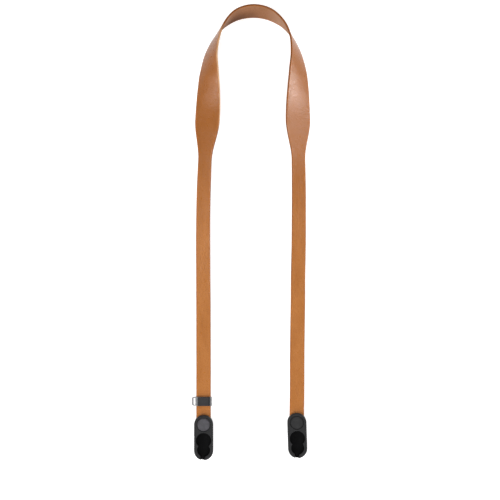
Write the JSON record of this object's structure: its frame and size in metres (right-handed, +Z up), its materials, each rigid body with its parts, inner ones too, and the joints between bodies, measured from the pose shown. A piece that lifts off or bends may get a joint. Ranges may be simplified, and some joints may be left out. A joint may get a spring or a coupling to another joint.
{
  "type": "camera neck strap",
  "caption": "Leather neck strap, wide at the neck and narrow along its legs, lying in an arch, with a keyhole connector at each end and a steel keeper on one leg.",
  "frame": {"origin": "middle of the base of the whole strap as it lies, on the surface that it lies on", "axes": "+Z up from the surface, +Y along the legs towards the arch, +X across from the leg with the keeper to the other leg"},
  "size_m": [0.1236, 0.4734, 0.0347],
  "materials": {
    "leather": "smooth vegetable-tanned tan leather with a soft sheen, fine grain and darker painted edges; the inner side is matt and pinkish",
    "connector_plastic": "black moulded plastic with a fine spark texture",
    "cap_plastic": "dark grey, finely textured round cover",
    "keeper_steel": "bright steel with rounded edges",
    "plate_black": "black satin face, left blank"
  },
  "bodies": {
    "root": {"leather_strap": "leather", "left_housing": "connector_plastic", "left_cap": "cap_plastic", "right_housing": "connector_plastic", "right_cap": "cap_plastic", "keeper_frame": "keeper_steel", "keeper_plate": "plate_black"}
  },
  "joints": []
}
